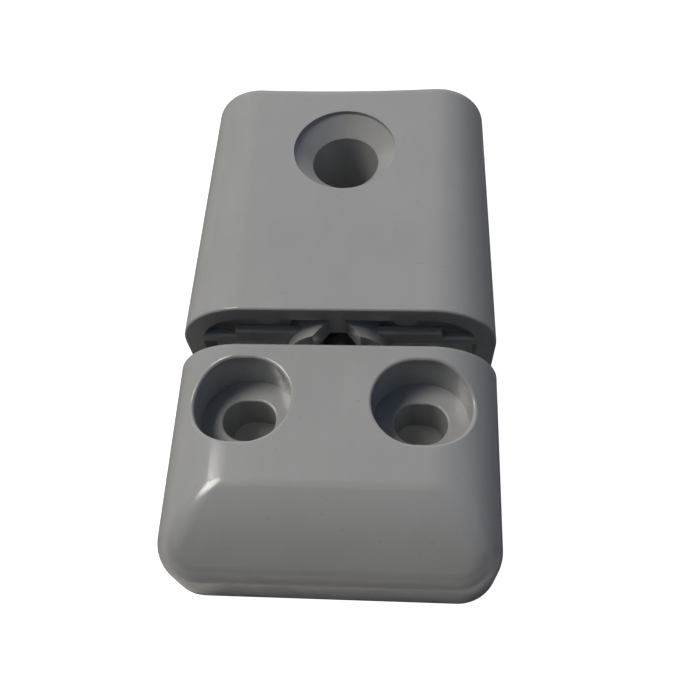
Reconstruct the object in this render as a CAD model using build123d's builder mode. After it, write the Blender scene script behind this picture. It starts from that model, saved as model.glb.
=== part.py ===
from build123d import *
import math
import os

# A moulded shower door hinge, lying on its back: a door leaf that is a hood with one bolt
# hole, a frame leaf with two counterbored screw slots, and a steel pin along Y between them.
# X is across the hinge, +Y runs from the frame leaf to the door leaf, +Z is the front.

# Overall sizes of the two leaves, in millimetres
hinge_width = 48.0
side_radius = 10.3
leaf_gap = 4.4
door_length = 45.5
door_height = 17.8
frame_length = 32.4
frame_height = 16.0
back_trim = 1.0

# Door leaf shell
door_wall = 2.9
door_taper = 0.72
door_end_radius = 8.5
door_end_fillet = 2.0
door_end_hollow = 1.0
door_rim_fillet = 0.3

# Open end of the door leaf: a lip across it, higher in the middle, and the wall behind it
recess_depth = 6.0
lip_foot = 8.3
lip_thickness = 1.4
lip_rounding = 0.5
side_lip_height = 1.6
middle_lip_height = 3.1
middle_width = 31.2
middle_wall_depth = 3.2
bulkhead_thickness = 2.2
bump_radius = 1.9
bump_drop = 1.35
bump_spacing = 20.2

# Pivot, and the detent crown on the door leaf with the two ridges that drop into it
pivot_height = 5.6
pin_diameter = 5.0
pin_clearance = 0.05
crown_radius = 8.2
crown_bore = 8.8
crown_stand = 1.6
crown_notches = 4
notch_depth = 2.3
notch_floor = 2.5
notch_angle = 45.0
cam_clearance = 0.3
mouth_depth = 3.9

# Pin and the push-on washer at its door end
pin_in_frame = 18.0
pin_stickout = 2.2
pin_chamfer = 0.6
collar_diameter = 8.0
collar_thickness = 1.2
axial_clearance = 0.1
washer_diameter = 10.0
washer_thickness = 0.8
washer_slots = 3
washer_slot_width = 1.0
washer_rim = 1.2

# Hubs and ribs in the cored backs
hub_wall = 2.5
door_hub_length = 8.4
rib_thickness = 2.0
bore_end_room = 0.5

# Bolt hole in the door leaf
bolt_from_open_end = 30.5
bolt_hole = 10.8
sink_diameter = 16.4
sink_wall = 0.6
bolt_boss_wall = 2.7
sink_boss_wall = 2.2

# Screw slots in the frame leaf
screw_spacing = 25.1
screw_from_inner_end = 8.8
counterbore_length = 14.0
counterbore_width = 12.7
counterbore_depth = 7.9
slot_length = 7.8
slot_width = 6.3
slot_fillet = 0.3
counterbore_fillet = 0.4
screw_boss_wall = 2.2

# Frame leaf shell
frame_wall = 2.9
frame_taper = 0.4
frame_corner = 6.0
frame_rim_fillet = 0.8
bevel_run = 11.5
bevel_edge_height = 9.7
bevel_start_slope = 12.0
bevel_overrun = 2.0
bevel_fillet = 4.5

# Places along Y, worked out from the sizes above
total_length = frame_length + leaf_gap + door_length
frame_outer_y = -total_length / 2
frame_inner_y = frame_outer_y + frame_length
door_open_y = frame_inner_y + leaf_gap
door_closed_y = total_length / 2
bolt_y = door_open_y + bolt_from_open_end
screw_y = frame_inner_y - screw_from_inner_end
crown_end_y = door_open_y - crown_stand
notch_floor_y = crown_end_y + notch_depth
mouth_floor_y = notch_floor_y + mouth_depth
bulkhead_y = door_open_y + recess_depth
bulkhead_back_y = bulkhead_y + bulkhead_thickness
door_hub_end_y = bulkhead_back_y + door_hub_length
washer_y = door_hub_end_y + axial_clearance
pin_door_end_y = washer_y + washer_thickness + pin_stickout
pin_frame_end_y = frame_inner_y - pin_in_frame
lift_travel = notch_depth
frame_bore_end_y = pin_frame_end_y - lift_travel - bore_end_room
frame_hub_end_y = frame_bore_end_y - hub_wall

# Other sizes that follow
half_width = hinge_width / 2
pin_radius = pin_diameter / 2
bore_radius = pin_radius + pin_clearance
hub_radius = bore_radius + hub_wall
washer_top = pivot_height + washer_diameter / 2 + axial_clearance
door_ceiling = door_height - door_wall
sink_cone = (sink_diameter - bolt_hole) / 2
sink_depth = sink_wall + sink_cone
screw_floor = frame_height - counterbore_depth
pivot_axis = Axis((0, 0, pivot_height), (0, 1, 0))


def section_plane(y):
    """The upright plane across the hinge at y: its own axes are X and Z, and it faces -Y."""
    return Plane.XZ.offset(-y)


def pivot_plane(y):
    """An upright plane across the hinge at y, centred on the pivot and facing +Y."""
    return Plane(origin=(0, y, pivot_height), x_dir=(1, 0, 0), z_dir=(0, 1, 0))


def arch(half, height, radius):
    """The leaves' section as a sketch, with rounded front edges; its back is trimmed flat later."""
    with BuildSketch(mode=Mode.PRIVATE) as section:
        with Locations((0, -back_trim)):
            Rectangle(2 * half, height + back_trim, align=(Align.CENTER, Align.MIN))
        fillet(section.vertices().group_by(Axis.Y)[-1], radius)
    return section.sketch


def above(height):
    """A test for edges whose middle lies above a height."""
    return lambda edge: edge.center().Z > height


# The hollow in the back of the door leaf, less the bosses and ribs that stand in it
with BuildPart() as door_core:
    with BuildSketch(section_plane(bulkhead_back_y)):
        add(arch(half_width - door_wall, door_ceiling, side_radius - door_wall))
    with BuildSketch(section_plane(door_closed_y - door_wall)):
        add(arch(half_width - door_taper - door_wall, door_ceiling, door_end_radius - door_wall))
    loft()
    with BuildSketch(Plane.XY):
        with Locations((0, bolt_y)):
            Circle(bolt_hole / 2 + bolt_boss_wall)
            Rectangle(hinge_width, rib_thickness)
            Rectangle(rib_thickness, door_closed_y - bolt_y, align=(Align.CENTER, Align.MIN))
    extrude(amount=door_height, mode=Mode.SUBTRACT)
    with BuildSketch(Plane.XY.offset(door_height - sink_depth - sink_boss_wall)):
        with Locations((0, bolt_y)):
            Circle(sink_diameter / 2 + sink_boss_wall)
    extrude(amount=door_height, mode=Mode.SUBTRACT)
    with BuildSketch(pivot_plane(bulkhead_back_y)):
        Circle(hub_radius)
    extrude(amount=door_hub_length, mode=Mode.SUBTRACT)
    with BuildSketch(Plane.XY.offset(pivot_height)):
        with Locations((0, bulkhead_back_y)):
            Rectangle(rib_thickness, door_hub_length, align=(Align.CENTER, Align.MIN))
    extrude(amount=door_height, mode=Mode.SUBTRACT)
    with BuildSketch(Plane.XY.offset(washer_top)):
        with Locations((0, bulkhead_back_y)):
            Rectangle(rib_thickness, bolt_y - bulkhead_back_y, align=(Align.CENTER, Align.MIN))
    extrude(amount=door_height, mode=Mode.SUBTRACT)

# The recess at the open end, less the bumps, lip, wall and barrel that stand in it
with BuildPart() as door_recess:
    with BuildSketch(section_plane(door_open_y)):
        add(arch(half_width - door_wall, door_ceiling, side_radius - door_wall))
    extrude(amount=-recess_depth)
    with BuildSketch(section_plane(door_open_y)):
        bump_foot = door_ceiling - bump_drop
        with Locations((-bump_spacing / 2, bump_foot), (bump_spacing / 2, bump_foot)):
            Circle(bump_radius, align=(Align.CENTER, Align.MIN))
    extrude(amount=-recess_depth, mode=Mode.SUBTRACT)
    for width, height in ((hinge_width, side_lip_height), (middle_width, middle_lip_height)):
        with BuildSketch(Plane.YZ.offset(-width / 2)) as lip:
            with Locations((door_open_y, lip_foot)):
                Rectangle(lip_thickness, height, align=(Align.MIN, Align.MIN))
            fillet(lip.vertices().group_by(Axis.Y)[-1], lip_rounding)
        extrude(amount=width, mode=Mode.SUBTRACT)
    with BuildSketch(section_plane(door_open_y + middle_wall_depth)):
        with Locations((0, lip_foot)):
            Rectangle(middle_width, door_height, align=(Align.CENTER, Align.MIN))
    extrude(amount=-recess_depth, mode=Mode.SUBTRACT)
    with BuildSketch(pivot_plane(door_open_y)):
        Circle(crown_radius)
    extrude(amount=recess_depth, mode=Mode.SUBTRACT)

# One notch of the crown, reaching up from the pivot axis
with BuildPart() as notch:
    with BuildSketch(Plane.XY.offset(pivot_height)):
        mouth_half = notch_floor / 2 + notch_depth * math.tan(math.radians(notch_angle))
        with BuildLine():
            Polyline(
                (-mouth_half, crown_end_y),
                (mouth_half, crown_end_y),
                (notch_floor / 2, notch_floor_y),
                (-notch_floor / 2, notch_floor_y),
                close=True,
            )
        make_face()
    extrude(amount=crown_radius)

# Door leaf: a hood lofted from its open end to its closed end
with BuildPart() as door_leaf:
    with BuildSketch(section_plane(door_open_y)):
        add(arch(half_width, door_height, side_radius))
    with BuildSketch(section_plane(door_closed_y)):
        add(arch(half_width - door_taper, door_height, door_end_radius))
    loft()
    with BuildSketch(Plane.XY):
        with BuildLine():
            Polyline(
                (half_width, door_closed_y),
                (half_width, door_open_y),
                (-half_width, door_open_y),
                (-half_width, door_closed_y),
            )
            ThreePointArc(
                (-half_width, door_closed_y),
                (0, door_closed_y - door_end_hollow),
                (half_width, door_closed_y),
            )
        make_face()
    extrude(amount=door_height, mode=Mode.INTERSECT)
    closed_end = door_leaf.faces().sort_by(Axis.Y)[-1]
    fillet(closed_end.edges().filter_by(above(door_wall / 2)), door_end_fillet)
    open_end = door_leaf.faces().sort_by(Axis.Y)[0]
    fillet(open_end.edges().filter_by(above(door_wall / 2)), door_rim_fillet)
    add(door_core.part, mode=Mode.SUBTRACT)
    add(door_recess.part, mode=Mode.SUBTRACT)
    # Crown round the pin, cut flat with the back, with its notches and its wide mouth
    with BuildSketch(pivot_plane(crown_end_y)):
        Circle(crown_radius)
    extrude(amount=crown_stand)
    with BuildSketch(Plane.XY):
        Rectangle(hinge_width, total_length)
    extrude(amount=-crown_radius, mode=Mode.SUBTRACT)
    with BuildSketch(pivot_plane(crown_end_y)):
        Circle(crown_bore / 2)
    extrude(amount=mouth_floor_y - crown_end_y, mode=Mode.SUBTRACT)
    with BuildSketch(pivot_plane(mouth_floor_y)):
        Circle(bore_radius)
    extrude(amount=door_hub_end_y - mouth_floor_y, mode=Mode.SUBTRACT)
    for turn in range(crown_notches):
        add(notch.part.rotate(pivot_axis, turn * 360 / crown_notches), mode=Mode.SUBTRACT)
    # Countersunk bolt hole, with a short upright wall at its rim
    with BuildSketch(Plane.YZ):
        with BuildLine():
            Polyline(
                (bolt_y, 0),
                (bolt_y + bolt_hole / 2, 0),
                (bolt_y + bolt_hole / 2, door_height - sink_depth),
                (bolt_y + sink_diameter / 2, door_height - sink_wall),
                (bolt_y + sink_diameter / 2, door_height),
                (bolt_y, door_height),
                close=True,
            )
        make_face()
    revolve(axis=Axis((0, bolt_y, 0), (0, 0, 1)), mode=Mode.SUBTRACT)


def bevel_profile(inset):
    """The frame leaf's side view as a sketch, drawn in by an inset, with its curved bevel."""
    slope = math.radians(bevel_start_slope)
    near = frame_outer_y + inset
    far = frame_inner_y - inset
    start = (near + bevel_run, frame_height - inset)
    stop = (near, bevel_edge_height - inset)
    with BuildSketch(mode=Mode.PRIVATE) as side_view:
        with BuildLine():
            curve = TangentArc(start, stop, tangent=(-math.cos(slope), -math.sin(slope)))
            past_end = PolarLine(curve @ 1, bevel_overrun, direction=curve % 1) @ 1
            Polyline(past_end, (past_end.X, 0), (far, 0), (far, start[1]), start)
        make_face()
    return side_view.sketch


screw_places = [(-screw_spacing / 2, screw_y), (screw_spacing / 2, screw_y)]

# The hollow in the back of the frame leaf, less its bosses, pin hub and middle rib
with BuildPart() as frame_core:
    with BuildSketch(section_plane(frame_inner_y - frame_wall)):
        add(arch(half_width - frame_wall, frame_height - frame_wall, side_radius - frame_wall))
    with BuildSketch(section_plane(frame_outer_y + frame_wall)):
        core_half = half_width - frame_taper - frame_wall
        add(arch(core_half, frame_height - frame_wall, side_radius - frame_wall))
    loft()
    with BuildSketch(Plane.YZ.offset(-half_width)):
        add(bevel_profile(frame_wall))
    extrude(amount=hinge_width, mode=Mode.INTERSECT)
    with BuildSketch(Plane.XY):
        with Locations((0, frame_outer_y + frame_wall)):
            RectangleRounded(
                2 * core_half,
                2 * frame_length,
                frame_corner - frame_wall,
                align=(Align.CENTER, Align.MIN),
            )
    extrude(amount=frame_height, mode=Mode.INTERSECT)
    with BuildSketch(Plane.XY):
        with Locations(*screw_places):
            SlotOverall(
                counterbore_length + 2 * screw_boss_wall,
                counterbore_width + 2 * screw_boss_wall,
            )
        with Locations((0, frame_outer_y)):
            Rectangle(rib_thickness, frame_length, align=(Align.CENTER, Align.MIN))
    extrude(amount=frame_height, mode=Mode.SUBTRACT)
    with BuildSketch(pivot_plane(frame_hub_end_y)):
        Circle(hub_radius)
    extrude(amount=frame_inner_y - frame_hub_end_y, mode=Mode.SUBTRACT)

# Frame leaf: the same section, with a curved bevel at its outer end
with BuildPart() as frame_leaf:
    with BuildSketch(section_plane(frame_inner_y)):
        add(arch(half_width, frame_height, side_radius))
    with BuildSketch(section_plane(frame_outer_y)):
        add(arch(half_width - frame_taper, frame_height, side_radius))
    loft()
    outer_end = frame_leaf.faces().sort_by(Axis.Y)[0]
    fillet(outer_end.edges().filter_by(above(frame_wall / 2)), frame_corner)
    with BuildSketch(Plane.YZ.offset(-half_width)):
        add(bevel_profile(0))
    extrude(amount=hinge_width, mode=Mode.INTERSECT)
    bevel = frame_leaf.faces().filter_by(lambda face: face.normal_at().Y < 0 < face.normal_at().Z)
    fillet(bevel.sort_by(SortBy.AREA)[-1].edges(), bevel_fillet)
    inner_end = frame_leaf.faces().sort_by(Axis.Y)[-1]
    fillet(inner_end.edges().filter_by(above(frame_wall / 2)), frame_rim_fillet)
    add(frame_core.part, mode=Mode.SUBTRACT)
    with BuildSketch(pivot_plane(frame_bore_end_y)):
        Circle(bore_radius)
    extrude(amount=frame_inner_y - frame_bore_end_y, mode=Mode.SUBTRACT)
    # Screw slots at the foot of obround counterbores
    with BuildSketch(Plane.XY):
        with Locations(*screw_places):
            SlotOverall(slot_length, slot_width)
    extrude(amount=frame_height, mode=Mode.SUBTRACT)
    with BuildSketch(Plane.XY.offset(screw_floor)):
        with Locations(*screw_places):
            SlotOverall(counterbore_length, counterbore_width)
    extrude(amount=counterbore_depth, mode=Mode.SUBTRACT)
    floors = frame_leaf.faces(Select.LAST).filter_by(Axis.Z)
    slot_rims = [edge for floor in floors for edge in floor.inner_wires().edges()]
    sunk_edges = frame_leaf.edges(Select.LAST).filter_by(Axis.Z, reverse=True)
    counterbore_rims = sunk_edges.filter_by(above(screw_floor + counterbore_depth / 2))
    fillet(slot_rims, slot_fillet)
    fillet(counterbore_rims, counterbore_fillet)
    # Two ridges beside the pin, which drop into the crown's notches
    crest_y = crown_end_y - cam_clearance
    flank = math.radians(notch_angle)
    flank_gap = cam_clearance / math.cos(flank)
    crest_half = notch_floor / 2 + cam_clearance * math.tan(flank) - flank_gap
    root_half = crest_half + (crest_y - frame_inner_y) * math.tan(flank)
    ridge_start = crown_bore / 2 + cam_clearance
    ridge_end = crown_radius - cam_clearance
    for side in (-1, 1):
        with BuildSketch(Plane.YZ.offset(side * ridge_start)):
            with BuildLine():
                Polyline(
                    (frame_inner_y, pivot_height - root_half),
                    (crest_y, pivot_height - crest_half),
                    (crest_y, pivot_height + crest_half),
                    (frame_inner_y, pivot_height + root_half),
                    close=True,
                )
            make_face()
        extrude(amount=side * (ridge_end - ridge_start))

# Pivot pin: a turned steel pin with a collar, held in the door leaf's mouth
with BuildPart() as pivot_pin:
    collar_back_y = mouth_floor_y - axial_clearance
    collar_front_y = collar_back_y - collar_thickness
    pin_top = pivot_height + pin_radius
    collar_top = pivot_height + collar_diameter / 2
    with BuildSketch(Plane.YZ):
        with BuildLine():
            Polyline(
                (pin_frame_end_y, pivot_height),
                (pin_frame_end_y, pin_top - pin_chamfer),
                (pin_frame_end_y + pin_chamfer, pin_top),
                (collar_front_y, pin_top),
                (collar_front_y, collar_top),
                (collar_back_y, collar_top),
                (collar_back_y, pin_top),
                (pin_door_end_y - pin_chamfer, pin_top),
                (pin_door_end_y, pin_top - pin_chamfer),
                (pin_door_end_y, pivot_height),
                close=True,
            )
        make_face()
    revolve(axis=pivot_axis)

# Push-on washer that keeps the pin in the door leaf
with BuildPart() as retaining_washer:
    with BuildSketch(pivot_plane(washer_y)):
        Circle(washer_diameter / 2)
        Circle(pin_radius, mode=Mode.SUBTRACT)
        slot_reach = washer_diameter / 2 - washer_rim
        with PolarLocations(0, washer_slots):
            Rectangle(
                slot_reach,
                washer_slot_width,
                align=(Align.MIN, Align.CENTER),
                mode=Mode.SUBTRACT,
            )
    extrude(amount=washer_thickness)

os.makedirs("parts", exist_ok=True)
door_leaf.part.label = "door_leaf"
frame_leaf.part.label = "frame_leaf"
pivot_pin.part.label = "pivot_pin"
retaining_washer.part.label = "retaining_washer"
for piece in (door_leaf, frame_leaf, pivot_pin, retaining_washer):
    export_step(piece.part, f"parts/{piece.part.label}.step")
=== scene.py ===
"""Looks of a moulded shower door hinge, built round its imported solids.

The hinge lies on its back: X is across it, +Y runs from the frame leaf to the door leaf and
+Z is the front. All lengths are in metres, in the frame of the solids.
"""

from __future__ import annotations

import logging
import math
from dataclasses import dataclass, field
from enum import Enum
from typing import Any

import bpy
from mathutils import Matrix, Vector


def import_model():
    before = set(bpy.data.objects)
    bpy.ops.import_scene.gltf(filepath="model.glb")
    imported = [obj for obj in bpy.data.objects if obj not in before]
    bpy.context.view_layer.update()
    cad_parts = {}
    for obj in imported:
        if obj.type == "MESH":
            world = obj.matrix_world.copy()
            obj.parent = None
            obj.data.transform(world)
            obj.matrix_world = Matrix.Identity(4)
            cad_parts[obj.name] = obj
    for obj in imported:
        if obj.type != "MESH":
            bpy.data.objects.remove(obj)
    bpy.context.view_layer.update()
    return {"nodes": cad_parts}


LOG = logging.getLogger("hinge")
MM = 0.001

Colour = tuple[float, float, float]
Tint = Colour | bpy.types.NodeSocket
Span = tuple[float, float]

# How strong each finer layer of a noise is beside the one before it.
LAYER_STRENGTH = 0.55

# Places of a Mix node's sockets when it mixes colours: three inputs and the output.
MIX_SHARE = 0
MIX_LOW = 6
MIX_HIGH = 7
MIX_RESULT = 2


class Slot(Enum):
    """Material slots of the record."""

    MOULDING = "moulding"
    STEEL = "steel"


class Value:
    """A number that varies over a surface; arithmetic on it adds Math nodes."""

    def __init__(self, shader: Shader, socket: bpy.types.NodeSocket) -> None:
        """Wrap a socket.

        Args:
            shader: The shader that the socket belongs to.
            socket: An output socket that gives a number.
        """
        self.shader = shader
        self.socket = socket

    def _math(self, operation: str, *terms: Value | float) -> Value:
        """Return the result of a Math node on its terms."""
        made = self.shader.node(
            "ShaderNodeMath", {"operation": operation}, dict(enumerate(terms))
        )
        return Value(self.shader, made.outputs[0])

    def __add__(self, other: Value | float) -> Value:
        """Return self + other."""
        return self._math("ADD", self, other)

    __radd__ = __add__

    def __sub__(self, other: Value | float) -> Value:
        """Return self - other."""
        return self._math("SUBTRACT", self, other)

    def __rsub__(self, other: Value | float) -> Value:
        """Return other - self."""
        return self._math("SUBTRACT", other, self)

    def __mul__(self, other: Value | float) -> Value:
        """Return self * other."""
        return self._math("MULTIPLY", self, other)

    __rmul__ = __mul__

    def clamped(self) -> Value:
        """Return the value held between 0 and 1."""
        return self._math("MAXIMUM", self._math("MINIMUM", self, 1.0), 0.0)

    def ramp(self, span: Span) -> Value:
        """Return 0 at the span's first number, 1 at its second, and a straight line between."""
        low, high = span
        return ((self - low) * (1.0 / (high - low))).clamped()


class Shader:
    """A node material under construction."""

    def __init__(self, name: str) -> None:
        """Start an empty material.

        Args:
            name: The material's name.
        """
        self.material = bpy.data.materials.new(name)
        self.material.use_nodes = True
        self.tree = self.material.node_tree
        self.tree.nodes.clear()

    def node(
        self,
        kind: str,
        settings: dict[str, Any] | None = None,
        inputs: dict[str | int, Any] | None = None,
    ) -> bpy.types.Node:
        """Add a node.

        Args:
            kind: Blender's name for the node's type.
            settings: The node's own settings, set before its sockets.
            inputs: What each socket holds: a constant, a Value or an output socket.

        Returns:
            The new node.
        """
        made = self.tree.nodes.new(kind)
        for name, value in (settings or {}).items():
            setattr(made, name, value)
        for name, value in (inputs or {}).items():
            socket = made.inputs[name]
            if isinstance(value, Value):
                self.tree.links.new(value.socket, socket)
            elif isinstance(value, bpy.types.NodeSocket):
                self.tree.links.new(value, socket)
            else:
                socket.default_value = value
        return made

    def place(self) -> bpy.types.NodeSocket:
        """Return the point on the surface, in the object's own frame."""
        return self.node("ShaderNodeTexCoord").outputs["Object"]

    def stretched(self, scale: Colour) -> bpy.types.NodeSocket:
        """Return the point on the surface with each axis scaled."""
        made = self.node(
            "ShaderNodeVectorMath",
            {"operation": "MULTIPLY"},
            {0: self.place(), 1: scale},
        )
        return made.outputs[0]

    def noise(self, point: bpy.types.NodeSocket, size: float, detail: float) -> Value:
        """Return soft noise from 0 to 1.

        Args:
            point: Where the noise is read.
            size: The size of its blotches, in metres.
            detail: The number of finer layers added to it.

        Returns:
            The noise.
        """
        made = self.node(
            "ShaderNodeTexNoise",
            {"noise_dimensions": "3D"},
            {
                "Vector": point,
                "Scale": 1.0 / size,
                "Detail": detail,
                "Roughness": LAYER_STRENGTH,
            },
        )
        return Value(self, made.outputs["Fac"])

    def tinted(self, share: Value, low: Tint, high: Tint) -> bpy.types.NodeSocket:
        """Return a colour between two others, by a share from 0 to 1.

        Args:
            share: 0 for the low colour, 1 for the high one.
            low: A colour, or a socket that gives one.
            high: The other colour.

        Returns:
            The mixed colour.
        """
        ends = [(*end, 1.0) if isinstance(end, tuple) else end for end in (low, high)]
        made = self.node(
            "ShaderNodeMix",
            {"data_type": "RGBA"},
            {MIX_SHARE: share, MIX_LOW: ends[0], MIX_HIGH: ends[1]},
        )
        return made.outputs[MIX_RESULT]

    def relief(self, height: Value, depth: float, strength: float) -> bpy.types.NodeSocket:
        """Return the normal of a surface with a fine relief.

        Args:
            height: The relief's height, from 0 to 1.
            depth: The height that 1 stands for, in metres.
            strength: The share of the relief's effect that is used.

        Returns:
            The bent normal.
        """
        made = self.node(
            "ShaderNodeBump",
            {},
            {"Height": height, "Distance": depth, "Strength": strength},
        )
        return made.outputs["Normal"]

    def finish(self, surface: dict[str, Any]) -> bpy.types.Material:
        """Connect a surface to the output.

        Args:
            surface: What the surface shader's sockets hold.

        Returns:
            The finished material.
        """
        made = self.node("ShaderNodeBsdfPrincipled", {}, surface)
        self.node("ShaderNodeOutputMaterial", {}, {"Surface": made.outputs[0]})
        return self.material


@dataclass(frozen=True)
class MouldedPlastic:
    """Light grey semi-gloss moulding: a fine satin grain, slow clouds of tone, sparse specks.

    Attributes:
        light: Colour of the clouds' pale parts.
        dark: Colour of their dark parts.
        speck: Colour of the specks.
        roughness: Roughness of the skin, on average.
        roughness_swing: How far it varies from one flow line to the next.
        refraction: Index of refraction.
        cloud_size: Size of the clouds.
        cloud_share: Their share in the tone; the flow lines make up the rest.
        cloud_span: Noise values between which the tone goes from dark to light.
        flow_size: Width of the flow lines.
        flow_stretch: Scale of each axis for them; a small number draws them out along it.
        grain_size: Size of the satin grain.
        grain_depth: Its depth.
        grain_strength: The share of its effect that is used.
        speck_size: Size of the specks.
        speck_span: Noise values between which a speck fades in.
        speck_strength: How far a speck takes on its colour.
    """

    light: Colour = (0.392, 0.395, 0.397)
    dark: Colour = (0.359, 0.363, 0.366)
    speck: Colour = (0.275, 0.278, 0.281)
    roughness: float = 0.19
    roughness_swing: float = 0.04
    refraction: float = 1.5
    cloud_size: float = 14 * MM
    cloud_share: float = 0.7
    cloud_span: Span = (0.3, 0.7)
    flow_size: float = 3 * MM
    flow_stretch: Colour = (1.0, 0.25, 1.0)
    grain_size: float = 0.35 * MM
    grain_depth: float = 0.012 * MM
    grain_strength: float = 0.35
    speck_size: float = 0.6 * MM
    speck_span: Span = (0.79, 0.83)
    speck_strength: float = 0.3

    def material(self) -> bpy.types.Material:
        """Build the material.

        Returns:
            The plastic.
        """
        shader = Shader("grey_moulding")
        place = shader.place()
        drawn_out = shader.stretched(self.flow_stretch)
        cloud = shader.noise(place, self.cloud_size, detail=3.0)
        grain = shader.noise(place, self.grain_size, detail=1.0)
        flow = shader.noise(drawn_out, self.flow_size, detail=2.0)
        specks = shader.noise(place, self.speck_size, detail=0.0).ramp(self.speck_span)
        mottle = cloud * self.cloud_share + flow * (1.0 - self.cloud_share)
        tone = shader.tinted(mottle.ramp(self.cloud_span), self.dark, self.light)
        smoothest = self.roughness - self.roughness_swing / 2
        return shader.finish(
            {
                "Base Color": shader.tinted(specks * self.speck_strength, tone, self.speck),
                "Roughness": flow * self.roughness_swing + smoothest,
                "IOR": self.refraction,
                "Normal": shader.relief(grain, self.grain_depth, self.grain_strength),
            }
        )


@dataclass(frozen=True)
class TurnedSteel:
    """Plain steel with fine turning marks round the pivot's axis, and a little stained.

    Attributes:
        light: Colour of the clean steel.
        dark: Colour of its stains.
        stain_size: Size of the stains.
        stain_span: Noise values between which a stain clears.
        roughness: Roughness at the bottom of a mark.
        roughness_swing: How much rougher its top is.
        mark_size: Width of the marks.
        mark_stretch: Scale of each axis for them; small across the pivot, so they run round it.
        mark_depth: Their depth.
        mark_strength: The share of their effect that is used.
    """

    light: Colour = (0.66, 0.65, 0.63)
    dark: Colour = (0.44, 0.41, 0.37)
    stain_size: float = 2.5 * MM
    stain_span: Span = (0.35, 0.7)
    roughness: float = 0.30
    roughness_swing: float = 0.16
    mark_size: float = 0.12 * MM
    mark_stretch: Colour = (0.02, 1.0, 0.02)
    mark_depth: float = 0.01 * MM
    mark_strength: float = 0.4

    def material(self) -> bpy.types.Material:
        """Build the material.

        Returns:
            The steel.
        """
        shader = Shader("turned_steel")
        drawn_out = shader.stretched(self.mark_stretch)
        marks = shader.noise(drawn_out, self.mark_size, detail=2.0)
        stains = shader.noise(shader.place(), self.stain_size, detail=3.0)
        clean = stains.ramp(self.stain_span)
        return shader.finish(
            {
                "Base Color": shader.tinted(clean, self.dark, self.light),
                "Metallic": 1.0,
                "Roughness": marks * self.roughness_swing + self.roughness,
                "Normal": shader.relief(marks, self.mark_depth, self.mark_strength),
            }
        )


@dataclass(frozen=True)
class PaleTable:
    """White table top that looks evenly lit, with a painted shadow where the hinge covers it
    and a painted pool of light in front of the frame leaf.

    Attributes:
        seen: What open table gives off towards the camera.
        cast: What it gives off towards the hinge.
        painted_shadow: What covered table gives off, a painted shadow under the hinge.
        base: Its own colour, in the plastic's reflections and inside the holes.
        front: The same in front of the frame leaf, a painted pool of light that shows mainly in
            the plastic's reflections.
        bounced: Its colour for light that it throws back on to the hinge.
        front_edge: Where along Y the base ends and the painted pool of light begins.
        reach: How far away a wall still darkens the table with painted shadow.
        open_span: Shares of open sky between which the painted shadow fades from full to none.
        sky_samples: Rays that look for open sky.
        roughness: Its roughness.
    """

    seen: Colour = (1.05, 1.05, 1.05)
    cast: Colour = (0.01, 0.01, 0.01)
    painted_shadow: Colour = (0.026, 0.027, 0.027)
    base: Colour = (0.20, 0.195, 0.185)
    front: Colour = (1.0, 0.95, 0.90)
    bounced: Colour = (0.24, 0.225, 0.21)
    front_edge: Span = (-34 * MM, -44 * MM)
    reach: float = 14 * MM
    open_span: Span = (0.27, 0.44)
    sky_samples: int = 16
    roughness: float = 0.9

    def material(self) -> bpy.types.Material:
        """Build the material.

        Returns:
            A white that glows for the camera and throws little light on the hinge.
        """
        shader = Shader("pale_table")
        sky = shader.node(
            "ShaderNodeAmbientOcclusion",
            {"samples": self.sky_samples},
            {"Distance": self.reach},
        )
        # Painted shadow: ambient occlusion dims the table's glow where the hinge covers it.
        unshadowed = Value(shader, sky.outputs["AO"]).ramp(self.open_span)
        ray = shader.node("ShaderNodeLightPath")
        to_camera = Value(shader, ray.outputs["Is Camera Ray"])
        thrown_back = Value(shader, ray.outputs["Is Diffuse Ray"])
        spot = shader.node("ShaderNodeSeparateXYZ", {}, {"Vector": shader.place()})
        # Painted pool of light on the table in front of the frame leaf, there for the plastic's
        # reflections.
        in_painted_light = Value(shader, spot.outputs["Y"]).ramp(self.front_edge)
        own = shader.tinted(in_painted_light, self.base, self.front)
        glow = shader.tinted(to_camera, self.cast, self.seen)
        return shader.finish(
            {
                "Base Color": shader.tinted(thrown_back, own, self.bounced),
                "Roughness": self.roughness,
                "Emission Color": shader.tinted(unshadowed, self.painted_shadow, glow),
                "Emission Strength": 1.0,
            }
        )


def dress_solid(solid: bpy.types.Object, finish: bpy.types.Material) -> None:
    """Give a carried-over solid its material; its shape and normals stay as they came.

    Args:
        solid: The solid's object.
        finish: Its material.
    """
    solid.data.materials.clear()
    solid.data.materials.append(finish)
    LOG.info("%s: %d faces, %s", solid.name, len(solid.data.polygons), finish.name)


@dataclass(frozen=True)
class Leaf:
    """One of the two mouldings, carried over from the solids.

    Attributes:
        node: Its solid's name.
    """

    node: str

    def dress(self, nodes: dict[str, bpy.types.Object], finish: bpy.types.Material) -> None:
        """Give the moulding its plastic.

        Args:
            nodes: The solids by name.
            finish: The plastic.
        """
        dress_solid(nodes[self.node], finish)


@dataclass(frozen=True)
class Pivot:
    """Pin and washer, carried over from the solids.

    Attributes:
        nodes: Their solids' names.
    """

    nodes: tuple[str, ...] = ("pivot_pin", "retaining_washer")

    def dress(self, nodes: dict[str, bpy.types.Object], finish: bpy.types.Material) -> None:
        """Give the turned pieces their steel.

        Args:
            nodes: The solids by name.
            finish: The steel.
        """
        for name in self.nodes:
            dress_solid(nodes[name], finish)


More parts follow.
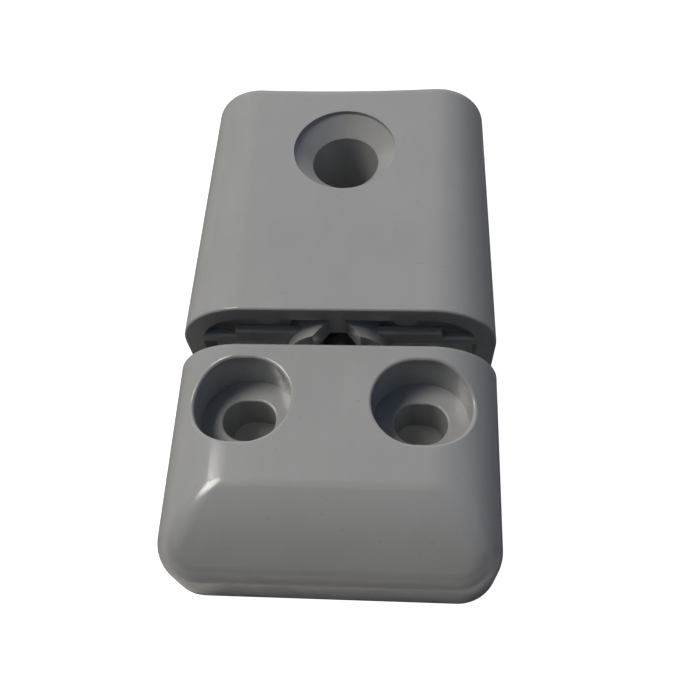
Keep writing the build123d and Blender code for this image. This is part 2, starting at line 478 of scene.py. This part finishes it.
@dataclass(frozen=True)
class SoftBox:
    """A square studio light.

    Attributes:
        name: The light's name.
        azimuth: Its compass direction in degrees: 0 is +Y, 90 is +X.
        height: Its height above the table in degrees.
        size: The length of its sides.
        power: Its power in watts.
        colour: Its colour.
        distance: How far it hangs from the hinge.
        glints: Whether it shows in reflections.
    """

    name: str
    azimuth: float
    height: float
    size: float
    power: float
    colour: Colour = (1.0, 1.0, 1.0)
    distance: float = 0.8
    glints: bool = True

    def build(self, aim: Vector) -> None:
        """Hang the light so that it faces a point.

        Args:
            aim: The point.
        """
        azimuth, height = math.radians(self.azimuth), math.radians(self.height)
        level = math.cos(height)
        towards = Vector(
            (math.sin(azimuth) * level, math.cos(azimuth) * level, math.sin(height))
        )
        lamp = bpy.data.lights.new(self.name, "AREA")
        lamp.shape = "SQUARE"
        lamp.size = self.size
        lamp.energy = self.power
        lamp.color = self.colour
        hung = bpy.data.objects.new(self.name, lamp)
        bpy.context.scene.collection.objects.link(hung)
        hung.location = aim + towards * self.distance
        hung.visible_glossy = self.glints
        hung.rotation_mode = "QUATERNION"
        hung.rotation_quaternion = towards.to_track_quat("Z", "Y")


@dataclass(frozen=True)
class PhotoCamera:
    """A camera that looks down on the hinge from its frame leaf's end.

    Attributes:
        aim: The point in the middle of the picture.
        distance: How far the camera is from it.
        pitch: How steeply it looks down.
        yaw: How far it looks to the right of +Y.
        roll: How far its own top leans to the left.
        lens: Focal length, in millimetres of a full frame.
        sensor: The full frame's width in millimetres.
        clip: The nearest and farthest distance that it sees.
    """

    aim: Vector = field(default_factory=lambda: Vector((1.789, -5.817, 8.533)) * MM)
    distance: float = 119.226 * MM
    pitch: float = math.radians(61.385)
    yaw: float = math.radians(-7.843)
    roll: float = math.radians(-6.143)
    lens: float = 40.256
    sensor: float = 36.0
    clip: Span = (5 * MM, 20.0)

    def build(self) -> None:
        """Make the camera and set it as the scene's."""
        level = math.cos(self.pitch)
        ahead = Vector(
            (math.sin(self.yaw) * level, math.cos(self.yaw) * level, -math.sin(self.pitch))
        )
        sideways = Vector((math.cos(self.yaw), -math.sin(self.yaw), 0.0))
        upright = sideways.cross(ahead)
        right = sideways * math.cos(self.roll) + upright * math.sin(self.roll)
        above = upright * math.cos(self.roll) - sideways * math.sin(self.roll)
        turn = Matrix((right, above, -ahead)).transposed().to_4x4()
        data = bpy.data.cameras.new("photo_camera")
        data.lens = self.lens
        data.sensor_width = self.sensor
        data.clip_start, data.clip_end = self.clip
        camera = bpy.data.objects.new("photo_camera", data)
        bpy.context.scene.collection.objects.link(camera)
        camera.matrix_world = Matrix.Translation(self.aim - ahead * self.distance) @ turn
        bpy.context.scene.camera = camera


@dataclass(frozen=True)
class Studio:
    """Table, lights and camera; none of it belongs to the hinge.

    Attributes:
        table_half: Half the length of the table's sides.
        table_drop: How far its top lies below the hinge's back, so that they don't flicker.
        sky: The room's even light.
        aim: The point that all lights face.
        lights: The lights, each with its azimuth, height, size, power and colour.
    """

    table_half: float = 4.0
    table_drop: float = 0.02 * MM
    sky: Colour = (0.010, 0.011, 0.013)
    aim: Vector = field(default_factory=lambda: Vector((0.0, 0.0, 8 * MM)))
    lights: tuple[SoftBox, ...] = (
        SoftBox("window", 281, 60, 0.27, 3.75, (1.0, 0.955, 0.875)),
        SoftBox("far_wall", 340, 18, 0.5, 2.8, (0.95, 1.0, 1.0), glints=False),
        SoftBox("far_window", 20, 18, 0.5, 1.5, (0.8, 0.81, 1.0), glints=False),
        SoftBox("left_wall", 240, 46, 0.6, 0.32),
        SoftBox("ceiling", 350, 54, 0.6, 0.2),
        SoftBox("room", 135, 55, 0.6, 0.24, (0.3, 0.6, 1.0)),
        SoftBox("right_wall", 90, 25, 0.5, 0.3, (0.63, 0.71, 1.0)),
    )

    def build(self) -> None:
        """Set up the whole studio."""
        self._table()
        self._sky()
        for light in self.lights:
            light.build(self.aim)
        PhotoCamera().build()
        bpy.context.scene.view_settings.view_transform = "Standard"
        LOG.info("studio: table, %d lights and camera", len(self.lights))

    def _table(self) -> None:
        """Lay the table top just under the hinge's back."""
        half = self.table_half
        corners = ((-half, -half), (half, -half), (half, half), (-half, half))
        mesh = bpy.data.meshes.new("table_top")
        mesh.from_pydata([(x, y, -self.table_drop) for x, y in corners], [], [(0, 1, 2, 3)])
        mesh.materials.append(PaleTable().material())
        table = bpy.data.objects.new("table_top", mesh)
        bpy.context.scene.collection.objects.link(table)

    def _sky(self) -> None:
        """Fill the room with an even, dim light."""
        world = bpy.data.worlds.new("room")
        world.use_nodes = True
        backdrop = world.node_tree.nodes["Background"]
        backdrop.inputs["Color"].default_value = (*self.sky, 1.0)
        bpy.context.scene.world = world


def main() -> None:
    """Dress the solids and set up the studio, in order."""
    logging.basicConfig(level=logging.INFO, format="%(message)s")
    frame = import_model()
    nodes = frame["nodes"]
    plastic = MouldedPlastic().material()
    Leaf("door_leaf").dress(nodes, plastic)
    Leaf("frame_leaf").dress(nodes, plastic)
    Pivot().dress(nodes, TurnedSteel().material())
    Studio().build()


if __name__ == "__main__":
    main()
